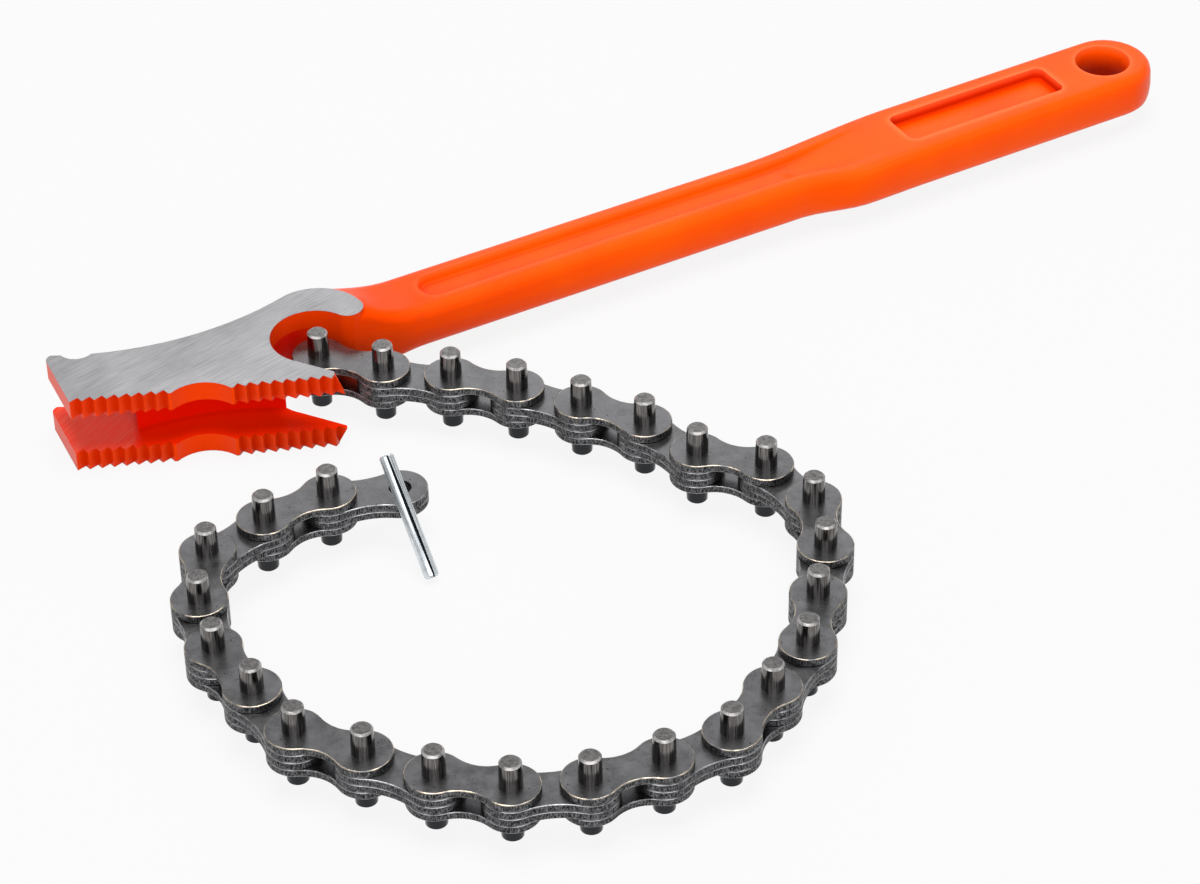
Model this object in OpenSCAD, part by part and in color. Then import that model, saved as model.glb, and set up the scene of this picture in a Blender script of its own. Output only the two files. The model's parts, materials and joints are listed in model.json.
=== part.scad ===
// Chain pipe wrench lying flat: a forged wrench body with a forked, toothed head and a channelled handle,
// a pin-link chain hooked in the head's round pocket, and a loose slotted spring pin leaning on the last link.
// Millimetres. X runs along the handle from head to grip, Z points up, and the wrench lies on Z = 0.
// All measures in the plan start at the first chain pin, which sits in the pocket.

/* [Head] */
// thickness over both jaw plates
head_t = 19.6; // [17:0.2:24]
// thickness of each jaw plate
jaw_plate_t = 4.9; // [4:0.1:5.2]
// angle between the toothed edge and the handle
jaw_lean = 22; // [12:1:30]
// distance from the first chain pin to the tooth tips
jaw_drop = 17.3; // [16.5:0.1:20]
// length of the toothed edge to the left of the first chain pin
jaw_left = 56.8; // [52:0.2:66]
// length of the toothed edge to the right of the first chain pin
jaw_right = 4.7; // [3:0.1:5.4]
// distance between teeth
tooth_pitch = 2.75; // [2.2:0.05:3.2]
// depth of a tooth
tooth_depth = 1.35; // [0.8:0.05:1.8]
// share of the pitch taken by a tooth's long flank
tooth_flank = 0.67; // [0.55:0.01:0.8]
// width of the smooth hollow between the two rows of teeth
relief_w = 13.4; // [10:0.2:16]
// depth of that hollow, from the tooth tips
relief_depth = 2.9; // [2.2:0.1:4]
// distance from the right end of the toothed edge to the hollow
relief_from_right = 24.8; // [20:0.2:30]
// angle of the head's left end, from square to the toothed edge
end_lean = 17; // [10:1:24]
// length of the straight left end
end_h = 16.5; // [14.5:0.5:18]
// radius of the nose behind the left end
nose_r = 2; // [1.4:0.1:2.6]
// radius of the chain notch behind the nose
notch_r = 4.3; // [3.8:0.1:5.4]
// direction from the nose to the chain notch
notch_dir = 38; // [34:1:48]
// sag of the hollow back edge
back_sag = 4.2; // [3:0.1:5.5]
// bevel of the hook's tips, along the toothed edge
hook_bevel = 2; // [1:0.1:2.6]

/* [Chain pocket] */
// radius of the round pocket
pocket_r = 10; // [9.4:0.1:10.6]
// pocket centre from the first chain pin, along the handle
pocket_x = -1.2; // [-1.8:0.1:0]
// pocket centre from the first chain pin, across the handle
pocket_y = -0.4; // [-1:0.1:0.4]
// angle between the hook's inner wall and the toothed edge
hook_flare = 32; // [29:1:36]
// radius of the round lobe between the pocket and the handle
lobe_r = 3.6; // [3.2:0.1:4.4]
// direction from the pocket to the lobe, from the handle's direction
lobe_dir = 28; // [25:1:34]
// radius of the round boss behind the pocket, where the ground face ends
boss_r = 12; // [11.4:0.1:13]
// direction from the boss's centre to the lobe, from the handle's direction
boss_dir = 3; // [0:1:8]
// direction from the boss's centre to the end of the hollow back, from the handle's direction
boss_back = 100; // [95:1:110]

/* [Slot between the jaws] */
// depth of the slot behind the tooth tips
slot_depth = 11.1; // [10:0.1:12]
// radius of the slot's curved bottom
slot_r = 60; // [50:1:80]
// distance of the slot's deepest place from the first chain pin
slot_mid = 20.5; // [18:0.5:26]
// length of the web between the jaws, to the left of the first chain pin
web_left = 42.5; // [38:0.5:46]

/* [Handle] */
// length of the handle past the first chain pin
handle_l = 238.6; // [215:0.2:280]
// distance of the neck's middle line behind the first chain pin, at the head
handle_y = 9.2; // [8.6:0.1:9.6]
// distance of the grip's middle line behind the first chain pin
grip_y = 8.1; // [7.4:0.1:9.4]
// width of the neck
neck_w = 17.2; // [15:0.2:19]
// thickness of the neck
neck_t = 11; // [9:0.2:13]
// width of the grip
grip_w = 22.8; // [20:0.2:26]
// thickness of the grip
grip_t = 11.4; // [9:0.2:13]
// distance from the boss to the place where the neck has its own thickness
root_l = 14.3; // [10:0.1:16]
// rise of the head's ground faces above the forged root
ground_step = 0.15; // [0.1:0.05:0.4]
// start of the grip's flare on the tooth side
front_flare_x = 131; // [110:1:140]
// length of that flare
front_flare_l = 18; // [12:1:30]
// height of the finger stop at the end of that flare
stop_h = 0.4; // [0:0.1:1.2]
// start of the grip's flare on the back
back_flare_x = 122; // [100:1:130]
// length of the flare on the back
back_flare_l = 44; // [30:1:60]
// radius of the long edges
edge_r = 2.8; // [1.8:0.1:3.2]
// height of the parting ridge along the sides
ridge_h = 0.3; // [0.1:0.05:0.6]

/* [Handle channel] */
// start of the channel, from the first chain pin
channel_x = 30.5; // [29.5:0.5:45]
// distance from the grip's round end to the end of the channel
channel_end = 29; // [26:0.5:40]
// depth of the channel
channel_depth = 1.6; // [1:0.1:2.2]
// width of the flange beside the channel
flange_w = 4.2; // [3.6:0.1:5]
// width of the channel's sloping wall
channel_wall = 1.7; // [1.2:0.1:2.2]

/* [Marking recess] */
// length of the flat recess in the grip
recess_l = 46; // [30:1:48]
// width of the recess
recess_w = 11.6; // [8:0.2:12]
// depth of the recess below the grip's flange
recess_depth = 2.6; // [2.3:0.1:3.4]
// corner radius of the recess
recess_r = 2; // [0.8:0.1:3]
// distance from the hang hole's centre to the recess
recess_from_hole = 15.5; // [14:0.5:25]

/* [Hang hole] */
// radius of the hang hole
hang_r = 6.1; // [4.5:0.1:7]
// distance from the handle's end to the hang hole's centre
hang_from_end = 12.7; // [11:0.1:16]
// radius of its drafted mouth
mouth_r = 7; // [6.6:0.1:8]
// depth of the drafted mouth
mouth_depth = 2.6; // [1:0.1:3.5]

/* [Chain] */
// distance between chain pins
pitch = 15.875; // [14.5:0.125:17]
// radius of a link plate's round ends
plate_r = 6.2; // [5.6:0.1:6.8]
// thickness of a link plate
plate_t = 1.85; // [1.6:0.05:2.1]
// width of an outer plate's waist
outer_waist = 7.9; // [6.5:0.1:9]
// width of an inner plate's waist
inner_waist = 9.7; // [8:0.1:10.5]
// free play between neighbouring plates
plate_gap = 0.1; // [0.05:0.01:0.12]
// radius of a chain pin
pin_r = 2.5; // [2.1:0.05:2.8]
// radius of a chain pin's tip
tip_r = 2.36; // [1.9:0.02:2.4]
// length of a chain pin
pin_l = 20.2; // [18.6:0.2:21]
// chamfer at the ends of a chain pin
pin_chamfer = 0.45; // [0.2:0.05:0.8]
// straight length of a pin past the outer plates
pin_collar = 1.8; // [0.5:0.1:3]
// running play of an inner plate round its pin
pin_play = 0.05; // [0.03:0.01:0.1]
// direction of the first link, from the handle's direction
first_dir = -48; // [-56:1:-40]

/* [Spring pin] */
// outer radius of the spring pin
spring_r = 1.65; // [1.3:0.05:1.8]
// wall of the spring pin
spring_wall = 0.45; // [0.3:0.05:0.6]
// length of the spring pin
spring_l = 28.5; // [22:0.5:34]
// width of the slot along the spring pin
spring_slot = 0.7; // [0.4:0.05:1]
// chamfer at the ends of the spring pin
spring_chamfer = 0.4; // [0.2:0.05:0.6]
// distance from the last link's rim to the spring pin's foot
spring_foot = 13.5; // [8:0.5:16]
// clearance between the spring pin and the link that it leans on
spring_gap = 0.2; // [0.1:0.05:0.4]
// side step of the spring pin from the last link's hole
spring_side = 2.5; // [0:0.1:3]

/* [Hidden] */
$fn = 64;

// how the chain lies: turn of each link against the one before, in degrees
hinge_turns = [7, -6, -6, -3, -17, 25, -33, -32, -15, -2, -19, -4, -27,
               -8, -16, -19, -11, -1, -28, -2, -19, -17, -45, -11, -20];
orange = "#F2500A";
steel = "#6E6C6B";
zinc = "#C4CBD2";
far = 100;
nick = 0.01;
// overlap of walls that meet in a smooth line
bite = 0.05;
// direction from the chain notch's centre to the start of the hollow back
notch_end = -40;
// turn of the boss past the end of the hollow back
boss_past = 20;
// step of the handle's skin inside the head
root_inset = 1;
// half width of the channel where it starts
channel_tip = 0.6;
// length over which the channel's start is laid in fine steps
start_l = 8;
// smallest distance between two places along the handle
skin_step = 0.2;
// last turn of the grip's round end
end_turn = 85;

// unit vector at an angle
function dir(a) = [cos(a), sin(a)];
// soft step from 0 at a to 1 at b
function ease(x, a, b) = let (t = min(1, max(0, (x - a) / (b - a)))) t * t * (3 - 2 * t);
// value between a and b
function mix(a, b, t) = a + (b - a) * t;
// point of the head's plan, measured along the toothed edge and square to it, turned into the wrench's plan
function turned(p) = [p[0] * cos(jaw_lean) + p[1] * sin(jaw_lean), p[1] * cos(jaw_lean) - p[0] * sin(jaw_lean)];
// the turn the other way
function straight(p) = [p[0] * cos(jaw_lean) - p[1] * sin(jaw_lean), p[1] * cos(jaw_lean) + p[0] * sin(jaw_lean)];

// chain: directions of the links and places of the pins
link_count = len(hinge_turns) + 1;
function link_dir(i) = i == 0 ? first_dir : link_dir(i - 1) + hinge_turns[i - 1];
function pin_at(i) = i == 0 ? [0, 0] : pin_at(i - 1) + pitch * dir(link_dir(i - 1));
pins = [for (i = [0:link_count]) pin_at(i)];
stack_h = 4 * plate_t + 3 * plate_gap;
stack_z = pin_l / 2 - stack_h / 2;
function plate_z(layer) = stack_z + layer * (plate_t + plate_gap);

// plan of the pocket, the hook and the lobe, along and square to the toothed edge
pocket_c = straight([pocket_x, pocket_y]);
hook_touch = pocket_c + (pocket_r - bite) * dir(-90 - hook_flare);
lobe_c = pocket_c + (pocket_r + lobe_r - bite) * dir(lobe_dir + jaw_lean);
lobe_x = turned(lobe_c)[0];
lobe_front_y = turned(lobe_c)[1] - lobe_r;

// round boss behind the pocket, which ends in the lobe
boss_c = lobe_c - (boss_r - lobe_r + bite) * dir(boss_dir + jaw_lean);
boss_at = turned(boss_c);

// left end of the head
end_foot = [-jaw_left, -jaw_drop];
end_top = end_foot + end_h * dir(90 + end_lean);
nose_c = end_top + (nose_r - nick) * dir(end_lean);
nose_touch = nose_c + nose_r * dir(notch_dir);
notch_c = nose_c + (nose_r + notch_r - nick) * dir(notch_dir);

// hollow back edge, an arc between the chain notch and the boss
back_a = notch_c + notch_r * dir(notch_end);
back_b = boss_c + boss_r * dir(boss_back + jaw_lean);
back_chord = norm(back_b - back_a);
back_r = (back_chord * back_chord / 4 + back_sag * back_sag) / (2 * back_sag);
back_dir = atan2(back_b[1] - back_a[1], back_b[0] - back_a[0]);
back_c = (back_a + back_b) / 2 + (back_r - back_sag) * dir(back_dir + 90);

// handle: middle line, half width and half thickness along its length
grip_r = grip_w / 2;
round_x = handle_l - grip_r;
hang_x = handle_l - hang_from_end;
skin_x = lobe_x - 2 * lobe_r;
function line_y(x) = mix(handle_y, grip_y, min(1, max(0, (x - lobe_x) / (front_flare_x - lobe_x))));
function front_y(x) = mix(lobe_front_y + ground_step, line_y(x) - neck_w / 2, ease(x, lobe_x, lobe_x + root_l))
    + (pocket_y + pocket_r + lobe_r / 4 - lobe_front_y) * (1 - ease(x, skin_x, lobe_x))
    - (grip_w - neck_w) / 2 * ease(x, front_flare_x, front_flare_x + front_flare_l)
    - stop_h * ease(x, front_flare_x, front_flare_x + front_flare_l)
    * (1 - ease(x, front_flare_x + front_flare_l, front_flare_x + 2 * front_flare_l));
function rear_y(x) = line_y(x) + neck_w / 2 - root_inset * (1 - ease(x, skin_x, lobe_x))
    + (grip_w - neck_w) / 2 * ease(x, back_flare_x, back_flare_x + back_flare_l);
function mid_y(x) = (front_y(x) + rear_y(x)) / 2;
function half_w(x) = (rear_y(x) - front_y(x)) / 2;
function root_share(x, y) = pow(1 - min(1, max(0, (norm([x, y] - boss_at) - boss_r) / root_l)), 2);
function half_t(x, y) = mix(neck_t / 2, head_t / 2 - ground_step, root_share(x, y))
    + (grip_t - neck_t) / 2 * ease(x, front_flare_x, front_flare_x + back_flare_l);

// handle channel: half width with a round start, and depth with a soft start and end
function channel_half(x) = let (w = half_w(x) - flange_w, t = min(1, max(0, (x - channel_x) / w)))
    max(channel_tip, w * sqrt(1 - (1 - t) * (1 - t)));
function channel_cut(x) = channel_depth * ease(x, channel_x, channel_x + channel_wall)
    * (1 - ease(x, handle_l - channel_end, handle_l - channel_end + 2 * flange_w));

// how far a point at x, y from the middle line lies inside the handle's plan, with the grip's round end
function inset(x, y) = half_w(x) - norm([y, max(0, x - round_x)]);
function edge_drop(d) = d >= edge_r ? 0 : edge_r - sqrt(max(0, edge_r * edge_r - pow(edge_r - max(0, d), 2)));
function wall_share(x, y) = ease(channel_half(x) - abs(y), 0, channel_wall);
function top_z(x, y) = half_t(x, mid_y(x) + y) - edge_drop(inset(x, y)) - channel_cut(x) * wall_share(x, y);

// places across the handle where the skin is laid: edge round, flange, channel wall and floor
skin_shares = [1, 0.86, 0.72, 0.6, 0.5, 0.42, 0.34, 0.26, 0.18, 0.09];
function skin_inset(x, k) = let (c = channel_half(x), w = half_w(x), wall = min(c * skin_shares[1], channel_wall))
    k < 4 ? edge_r * (1 - cos(30 * k)) : k < 8 ? w - c + (k - 4) / 3 * wall : w - (c - wall) * (10 - k) / 3;
function skin_y(x, k) = let (past = max(0, x - round_x), w = half_w(x), r = w - skin_inset(x, k),
    edge = sqrt(max(nick, w * w - past * past)))
    max(r > past ? sqrt(r * r - past * past) : 0, edge * skin_shares[k]);
skin_ys = len(skin_shares);

// places along the handle, close together where the shape changes
root_xs = [for (i = [0:16]) mix(skin_x, channel_x - skin_step, i / 16)];
start_xs = [for (i = [0:9]) channel_x + start_l * i * i / 81];
neck_xs = [for (i = [1:4]) mix(channel_x + start_l, back_flare_x, i / 4)];
flare_xs = [for (i = [1:16]) mix(back_flare_x, front_flare_x + back_flare_l, i / 16)];
fade_xs = [for (i = [0:6]) handle_l - channel_end + 2 * flange_w * i / 6];
end_xs = [for (i = [0:9]) round_x + grip_r * sin(end_turn * i / 9)];
all_xs = concat(root_xs, start_xs, neck_xs, flare_xs, fade_xs, end_xs);

// list in rising order, without places that nearly coincide
function sorted(v) = len(v) < 2 ? v : let (m = v[floor(len(v) / 2)])
    concat(sorted([for (a = v) if (a < m) a]), [m], sorted([for (a = v) if (a > m) a]));
function spaced(v) = [for (i = [0:len(v) - 1]) if (i == 0 || v[i] - v[i - 1] > skin_step) v[i]];
skin_xs = spaced(sorted(all_xs));

// box round the whole wrench, whose middle is the origin
x_min = min(min([for (p = pins) p[0]]) - plate_r, turned(end_foot)[0]);
y_min = min([for (p = pins) p[1]]) - plate_r;
y_max = max(turned(nose_c)[1] + nose_r, grip_y + grip_r);

module place() translate([-(x_min + handle_l) / 2, -(y_min + y_max) / 2, 0]) children();

// plan of one jaw: two rows of saw teeth that lean apart, the smooth hollow between them,
// the nose and chain notch at the left end, the hollow back, and the boss that ends in the lobe
module jaw_plan() {
    edge_l = jaw_left + jaw_right;
    left_n = floor((edge_l - relief_from_right - relief_w) / tooth_pitch);
    right_n = floor(relief_from_right / tooth_pitch);
    left_end = -jaw_left + left_n * tooth_pitch;
    right_end = jaw_right - right_n * tooth_pitch;
    left_teeth = [for (k = [0:left_n - 1]) each [
        [-jaw_left + k * tooth_pitch, -jaw_drop],
        [-jaw_left + (k + tooth_flank) * tooth_pitch, tooth_depth - jaw_drop]]];
    right_teeth = [for (k = [right_n - 1:-1:0]) each [
        [jaw_right - (k + tooth_flank) * tooth_pitch, tooth_depth - jaw_drop],
        [jaw_right - k * tooth_pitch, -jaw_drop]]];
    relief_r = (relief_w * relief_w / 4 + relief_depth * relief_depth) / (2 * relief_depth);
    difference() {
        union() {
            polygon(concat(left_teeth, [[left_end, -jaw_drop], [right_end, -jaw_drop]], right_teeth, [
                lobe_c,
                boss_c,
                boss_c + (boss_r - bite) * dir(boss_back + jaw_lean),
                nose_touch,
                nose_c,
                end_top]));
            translate(nose_c) circle(nose_r);
            translate(lobe_c) circle(lobe_r);
            intersection() {
                translate(boss_c) circle(boss_r);
                polygon([
                    boss_c,
                    boss_c + 2 * boss_r * dir(boss_dir + jaw_lean),
                    boss_c + 2 * boss_r * dir((boss_dir + boss_back) / 2 + jaw_lean),
                    boss_c + 2 * boss_r * dir(boss_back + boss_past + jaw_lean)]);
            }
        }
        translate([(left_end + right_end) / 2, relief_depth - relief_r - jaw_drop]) circle(relief_r);
        translate(notch_c) circle(notch_r);
        translate(back_c) circle(back_r);
    }
}

// plan of the slot between the jaws: a curved bottom along the teeth, and open to the back at the left end
module slot_plan() {
    translate([-slot_mid, slot_depth - slot_r - jaw_drop]) circle(slot_r);
    translate([-web_left - far, -far]) square([far, 2 * far]);
}

// plan of the chain pocket: a round seat, the flared mouth, and the lobe left standing
module pocket_plan() {
    lobe_front = lobe_c + lobe_r * dir(jaw_lean - 90);
    difference() {
        union() {
            translate(pocket_c) circle(pocket_r);
            polygon([
                pocket_c,
                hook_touch,
                hook_touch + 2 * pocket_r * dir(-hook_flare),
                lobe_front,
                lobe_c]);
        }
        translate(lobe_c) circle(lobe_r);
    }
}

// bevel across the tip of one hook, from its outer face to the slot
module hook_tip_cut() translate([0, pocket_r - jaw_drop, 0]) rotate([90, 0, 0]) linear_extrude(2 * pocket_r) polygon([
    [jaw_right - hook_bevel, -nick],
    [jaw_right + nick, jaw_plate_t],
    [jaw_right + hook_bevel, jaw_plate_t],
    [jaw_right + hook_bevel, -nick]]);

// forked head: a block of the jaws' plan with the chain pocket, slotted along the teeth
module head_block() {
    difference() {
        linear_extrude(head_t) difference() {
            jaw_plan();
            pocket_plan();
        }
        translate([0, 0, jaw_plate_t]) linear_extrude(head_t - 2 * jaw_plate_t) slot_plan();
        hook_tip_cut();
        translate([0, 0, head_t]) mirror([0, 0, 1]) hook_tip_cut();
    }
}

// handle: a skin laid over sections, with round edges, a channel on both faces and a parting ridge on both sides
module handle_skin() {
    function half_row(x) = [for (k = [0:skin_ys - 1]) skin_y(x, k)];
    function row(x) = let (h = half_row(x)) concat(h, [0], [for (k = [skin_ys - 1:-1:0]) -h[k]]);
    function ring(x) = let (r = row(x), m = mid_y(x), n = len(r)) concat(
        [for (y = r) [x, m + y, top_z(x, y)]],
        [[x, m + r[n - 1] - ridge_h, 0]],
        [for (i = [n - 1:-1:0]) [x, m + r[i], -top_z(x, r[i])]],
        [[x, m + r[0] + ridge_h, 0]]);
    rings = [for (x = skin_xs) ring(x)];
    n = len(rings[0]);
    last = len(rings) - 1;
    sides = [for (i = [0:last - 1]) for (j = [0:n - 1]) let (a = i * n + j, b = i * n + (j + 1) % n)
        each [[a, a + n, b], [b, a + n, b + n]]];
    caps = [[for (j = [0:n - 1]) j], [for (j = [n - 1:-1:0]) last * n + j]];
    polyhedron([for (r = rings) each r], concat(sides, caps));
}

// hang hole through the grip, with a drafted mouth on both faces
module hang_hole() {
    translate([0, 0, -far / 2]) cylinder(r = hang_r, h = far);
    for (side = [0, 1]) mirror([0, 0, side]) translate([0, 0, grip_t / 2 - mouth_depth])
        cylinder(r1 = hang_r, r2 = mouth_r + (mouth_r - hang_r), h = 2 * mouth_depth);
}

// flat recess for markings in the grip's upper face
module marking_recess() {
    linear_extrude(far) translate([-recess_l, -recess_w / 2]) {
        translate([recess_r, 0]) square([recess_l - 2 * recess_r, recess_w]);
        translate([0, recess_r]) square([recess_l, recess_w - 2 * recess_r]);
        for (x = [recess_r, recess_l - recess_r]) for (y = [recess_r, recess_w - recess_r])
            translate([x, y]) circle(recess_r);
    }
}

module wrench_body() color(orange) place() {
    rotate(-jaw_lean) head_block();
    translate([0, 0, head_t / 2]) difference() {
        handle_skin();
        translate([hang_x, grip_y, 0]) hang_hole();
        translate([hang_x - recess_from_hole, grip_y, grip_t / 2 - recess_depth]) marking_recess();
    }
}

// puts a link's own plan, which runs along X from its first pin, where the link lies
module at_link(i) translate([pins[i][0], pins[i][1], 0]) rotate(link_dir(i)) children();

// plan of a link plate: two round ends and a hollow waist, with a hole for each pin
module plate_plan(waist, hole_r) {
    hollow_r = (pitch * pitch / 4 + waist * waist / 4 - plate_r * plate_r) / (2 * plate_r - waist);
    touch = plate_r / (plate_r + hollow_r);
    touch_x = touch * pitch / 2;
    touch_y = touch * (waist / 2 + hollow_r);
    difference() {
        union() {
            circle(plate_r);
            translate([pitch, 0]) circle(plate_r);
            translate([touch_x, -touch_y]) square([pitch - 2 * touch_x, 2 * touch_y]);
        }
        for (side = [-1, 1]) translate([pitch / 2, side * (waist / 2 + hollow_r)]) circle(hollow_r);
        circle(hole_r);
        translate([pitch, 0]) circle(hole_r);
    }
}

module plate(layer, waist, hole_r) translate([0, 0, plate_z(layer)]) linear_extrude(plate_t) plate_plan(waist, hole_r);

// chain pin: straight through the plates and a collar past them, then tapered to chamfered tips
module chain_pin() {
    collar_z = stack_z - pin_collar;
    collar_top = stack_z + stack_h + pin_collar;
    rotate_extrude() polygon([
        [0, 0],
        [tip_r - pin_chamfer, 0],
        [tip_r, pin_chamfer],
        [pin_r, collar_z],
        [pin_r, collar_top],
        [tip_r, pin_l - pin_chamfer],
        [tip_r - pin_chamfer, pin_l],
        [0, pin_l]]);
}

module outer_link_top_plate(i) color(steel) place() at_link(2 * i - 2) plate(3, outer_waist, pin_r);

module outer_link_bottom_plate(i) color(steel) place() at_link(2 * i - 2) plate(0, outer_waist, pin_r);

module outer_link_pins(i) color(steel) place() at_link(2 * i - 2) {
    chain_pin();
    translate([pitch, 0, 0]) chain_pin();
}

module inner_link_plates(i) color(steel) place() at_link(2 * i - 1) {
    plate(1, inner_waist, pin_r + pin_play);
    plate(2, inner_waist, pin_r + pin_play);
}

// spring pin: a slotted tube whose foot is on the floor and whose side leans on the last link's rim
lean_top = plate_z(2) + plate_t;
lean_rim = spring_foot;
lean_slope = atan2(lean_top, lean_rim);
lean_long = norm([lean_top, lean_rim]);
function lean(n) = n == 0 ? lean_slope
    : lean_slope + asin((spring_gap + spring_r * pow(sin(lean(n - 1)), 2)) / lean_long);
spring_lean = lean(4);
spring_rim_y = sqrt(plate_r * plate_r - spring_side * spring_side);

module spring_pin() color(zinc) place()
    translate([pins[link_count][0] - spring_side, pins[link_count][1] - spring_rim_y - spring_foot, 0])
    translate([0, 0, spring_r * cos(spring_lean)]) rotate([spring_lean - 90, 0, 0]) difference() {
        rotate_extrude() polygon([
            [spring_r - spring_wall, 0],
            [spring_r - spring_chamfer, 0],
            [spring_r, spring_chamfer],
            [spring_r, spring_l - spring_chamfer],
            [spring_r - spring_chamfer, spring_l],
            [spring_r - spring_wall, spring_l]]);
        translate([-spring_slot / 2, -2 * spring_r, -nick]) cube([spring_slot, 2 * spring_r, spring_l + 2 * nick]);
    }

wrench_body();
outer_link_top_plate(1);  // outer_link_01_top_plate
outer_link_bottom_plate(1);  // outer_link_01_bottom_plate
outer_link_pins(1);  // outer_link_01_pins
inner_link_plates(1);  // inner_link_01_plates
outer_link_top_plate(2);  // outer_link_02_top_plate
outer_link_bottom_plate(2);  // outer_link_02_bottom_plate
outer_link_pins(2);  // outer_link_02_pins
inner_link_plates(2);  // inner_link_02_plates
outer_link_top_plate(3);  // outer_link_03_top_plate
outer_link_bottom_plate(3);  // outer_link_03_bottom_plate
outer_link_pins(3);  // outer_link_03_pins
inner_link_plates(3);  // inner_link_03_plates
outer_link_top_plate(4);  // outer_link_04_top_plate
outer_link_bottom_plate(4);  // outer_link_04_bottom_plate
outer_link_pins(4);  // outer_link_04_pins
inner_link_plates(4);  // inner_link_04_plates
outer_link_top_plate(5);  // outer_link_05_top_plate
outer_link_bottom_plate(5);  // outer_link_05_bottom_plate
outer_link_pins(5);  // outer_link_05_pins
inner_link_plates(5);  // inner_link_05_plates
outer_link_top_plate(6);  // outer_link_06_top_plate
outer_link_bottom_plate(6);  // outer_link_06_bottom_plate
outer_link_pins(6);  // outer_link_06_pins
inner_link_plates(6);  // inner_link_06_plates
outer_link_top_plate(7);  // outer_link_07_top_plate
outer_link_bottom_plate(7);  // outer_link_07_bottom_plate
outer_link_pins(7);  // outer_link_07_pins
inner_link_plates(7);  // inner_link_07_plates
outer_link_top_plate(8);  // outer_link_08_top_plate
outer_link_bottom_plate(8);  // outer_link_08_bottom_plate
outer_link_pins(8);  // outer_link_08_pins
inner_link_plates(8);  // inner_link_08_plates
outer_link_top_plate(9);  // outer_link_09_top_plate
outer_link_bottom_plate(9);  // outer_link_09_bottom_plate
outer_link_pins(9);  // outer_link_09_pins
inner_link_plates(9);  // inner_link_09_plates
outer_link_top_plate(10);  // outer_link_10_top_plate
outer_link_bottom_plate(10);  // outer_link_10_bottom_plate
outer_link_pins(10);  // outer_link_10_pins
inner_link_plates(10);  // inner_link_10_plates
outer_link_top_plate(11);  // outer_link_11_top_plate
outer_link_bottom_plate(11);  // outer_link_11_bottom_plate
outer_link_pins(11);  // outer_link_11_pins
inner_link_plates(11);  // inner_link_11_plates
outer_link_top_plate(12);  // outer_link_12_top_plate
outer_link_bottom_plate(12);  // outer_link_12_bottom_plate
outer_link_pins(12);  // outer_link_12_pins
inner_link_plates(12);  // inner_link_12_plates
outer_link_top_plate(13);  // outer_link_13_top_plate
outer_link_bottom_plate(13);  // outer_link_13_bottom_plate
outer_link_pins(13);  // outer_link_13_pins
inner_link_plates(13);  // inner_link_13_plates
spring_pin();
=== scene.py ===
"""Chain pipe wrench: looks of the forging, the leaf chain and the loose spring pin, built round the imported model."""

import json
import math

import bmesh
import bpy
from bpy.props import FloatProperty, FloatVectorProperty, PointerProperty
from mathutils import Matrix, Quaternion, Vector
from mathutils.bvhtree import BVHTree


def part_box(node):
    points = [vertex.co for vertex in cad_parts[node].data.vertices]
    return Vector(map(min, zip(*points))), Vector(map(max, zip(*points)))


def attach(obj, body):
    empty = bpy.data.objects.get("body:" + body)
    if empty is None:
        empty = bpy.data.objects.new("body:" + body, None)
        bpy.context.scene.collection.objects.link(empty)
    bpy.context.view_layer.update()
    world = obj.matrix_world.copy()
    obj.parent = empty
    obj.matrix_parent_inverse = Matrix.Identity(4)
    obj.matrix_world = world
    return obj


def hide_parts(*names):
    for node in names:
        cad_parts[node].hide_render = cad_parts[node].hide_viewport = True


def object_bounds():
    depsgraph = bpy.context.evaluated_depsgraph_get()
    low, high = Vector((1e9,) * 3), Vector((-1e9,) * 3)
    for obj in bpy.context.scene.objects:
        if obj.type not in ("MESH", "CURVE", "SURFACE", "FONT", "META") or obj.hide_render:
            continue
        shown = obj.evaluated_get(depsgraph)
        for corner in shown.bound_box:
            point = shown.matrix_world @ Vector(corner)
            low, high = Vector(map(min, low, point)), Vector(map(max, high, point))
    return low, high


bl_info = {
    "name": "Chain Pipe Wrench",
    "version": (1, 0, 0),
    "blender": (4, 5, 0),
    "location": "3D View > Sidebar > Chain Wrench",
    "description": "Forged handle with a toothed head, a leaf chain and a loose spring pin",
    "category": "Object",
}

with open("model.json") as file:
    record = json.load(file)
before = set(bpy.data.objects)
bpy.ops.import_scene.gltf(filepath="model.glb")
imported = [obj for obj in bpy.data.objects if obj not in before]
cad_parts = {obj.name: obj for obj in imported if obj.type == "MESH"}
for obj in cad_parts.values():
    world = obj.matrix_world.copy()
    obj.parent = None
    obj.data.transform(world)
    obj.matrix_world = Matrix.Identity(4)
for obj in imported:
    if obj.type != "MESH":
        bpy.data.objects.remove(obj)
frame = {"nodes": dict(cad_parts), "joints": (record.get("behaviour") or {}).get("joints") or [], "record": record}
CAD_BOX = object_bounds()
# metres in a millimetre
MM = 0.001


def hex_linear(code):
    """sRGB hex value as linear red, green and blue."""
    values = [int(code[i:i + 2], 16) / 255 for i in (1, 3, 5)]
    return tuple(v / 12.92 if v <= 0.04045 else ((v + 0.055) / 1.055) ** 2.4 for v in values)


def node_heights(node):
    """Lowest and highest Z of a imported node."""
    low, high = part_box(node)
    return low.z, high.z


# heights in the chain and the head
BOTTOM_Z = node_heights("outer_link_01_bottom_plate")
TOP_Z = node_heights("outer_link_01_top_plate")
INNER_Z = node_heights("inner_link_01_plates")
PIN_Z = node_heights("outer_link_01_pins")
PLATE_T = TOP_Z[1] - TOP_Z[0]
HEAD_LOW, HEAD_HIGH = node_heights("wrench_body")
HEAD_MIDDLE = (HEAD_LOW + HEAD_HIGH) / 2
HEAD_HALF = (HEAD_HIGH - HEAD_LOW) / 2
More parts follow.
